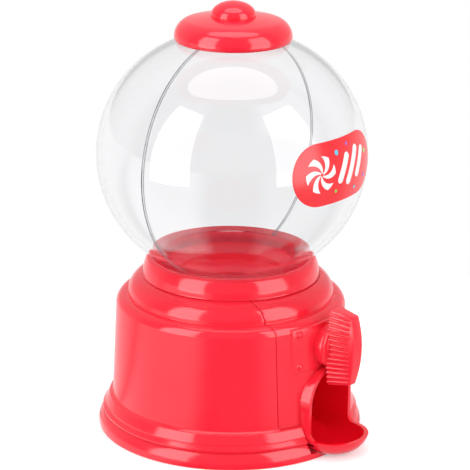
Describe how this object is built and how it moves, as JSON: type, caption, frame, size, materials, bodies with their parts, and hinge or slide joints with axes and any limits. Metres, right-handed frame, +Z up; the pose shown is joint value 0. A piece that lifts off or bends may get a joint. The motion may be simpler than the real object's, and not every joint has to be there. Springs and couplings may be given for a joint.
{
  "type": "gumball machine",
  "caption": "Small table-top gumball machine with a clear two-part globe, a lift-off lid, a stepped round base and a turning grip over an open chute.",
  "frame": {"origin": "middle of the flat underside of the foot, which rests on the table", "axes": "+Z up along the machine's axis, -Y towards the front with the grip and the chute, +X to the right of someone who faces the front"},
  "size_m": [0.0814, 0.0903, 0.132],
  "materials": {
    "red_plastic": "glossy red moulded plastic",
    "clear_plastic": "clear moulded plastic",
    "label": "smooth printed film with white motifs",
    "steel": "bright zinc"
  },
  "bodies": {
    "machine": {"base_tray": "red_plastic", "body_shell": "red_plastic", "front_cover": "red_plastic", "chute": "red_plastic", "hopper": "red_plastic", "globe_front": "clear_plastic", "globe_rear": "clear_plastic", "globe_label": "label", "bearing_plate": "red_plastic", "bearing_screws": "steel", "hopper_screws": "steel", "cover_screws": "steel", "base_screws": "steel"},
    "dispenser": {"knob": "red_plastic", "drive_shaft": "steel", "drum": "red_plastic", "drum_washer": "steel", "drum_screw": "steel"},
    "lid": {"lid": "red_plastic", "lid_knob": "red_plastic"}
  },
  "joints": [
    {"name": "knob_turn", "type": "hinge", "parent": "machine", "child": "dispenser", "pos_m": [0, 0, 0.0332], "axis": [0, -1, 0], "continuous": true},
    {"name": "lid_lift", "type": "slide", "parent": "machine", "child": "lid", "axis": [0, 0, 1], "range_m": [0, 0.04]}
  ]
}
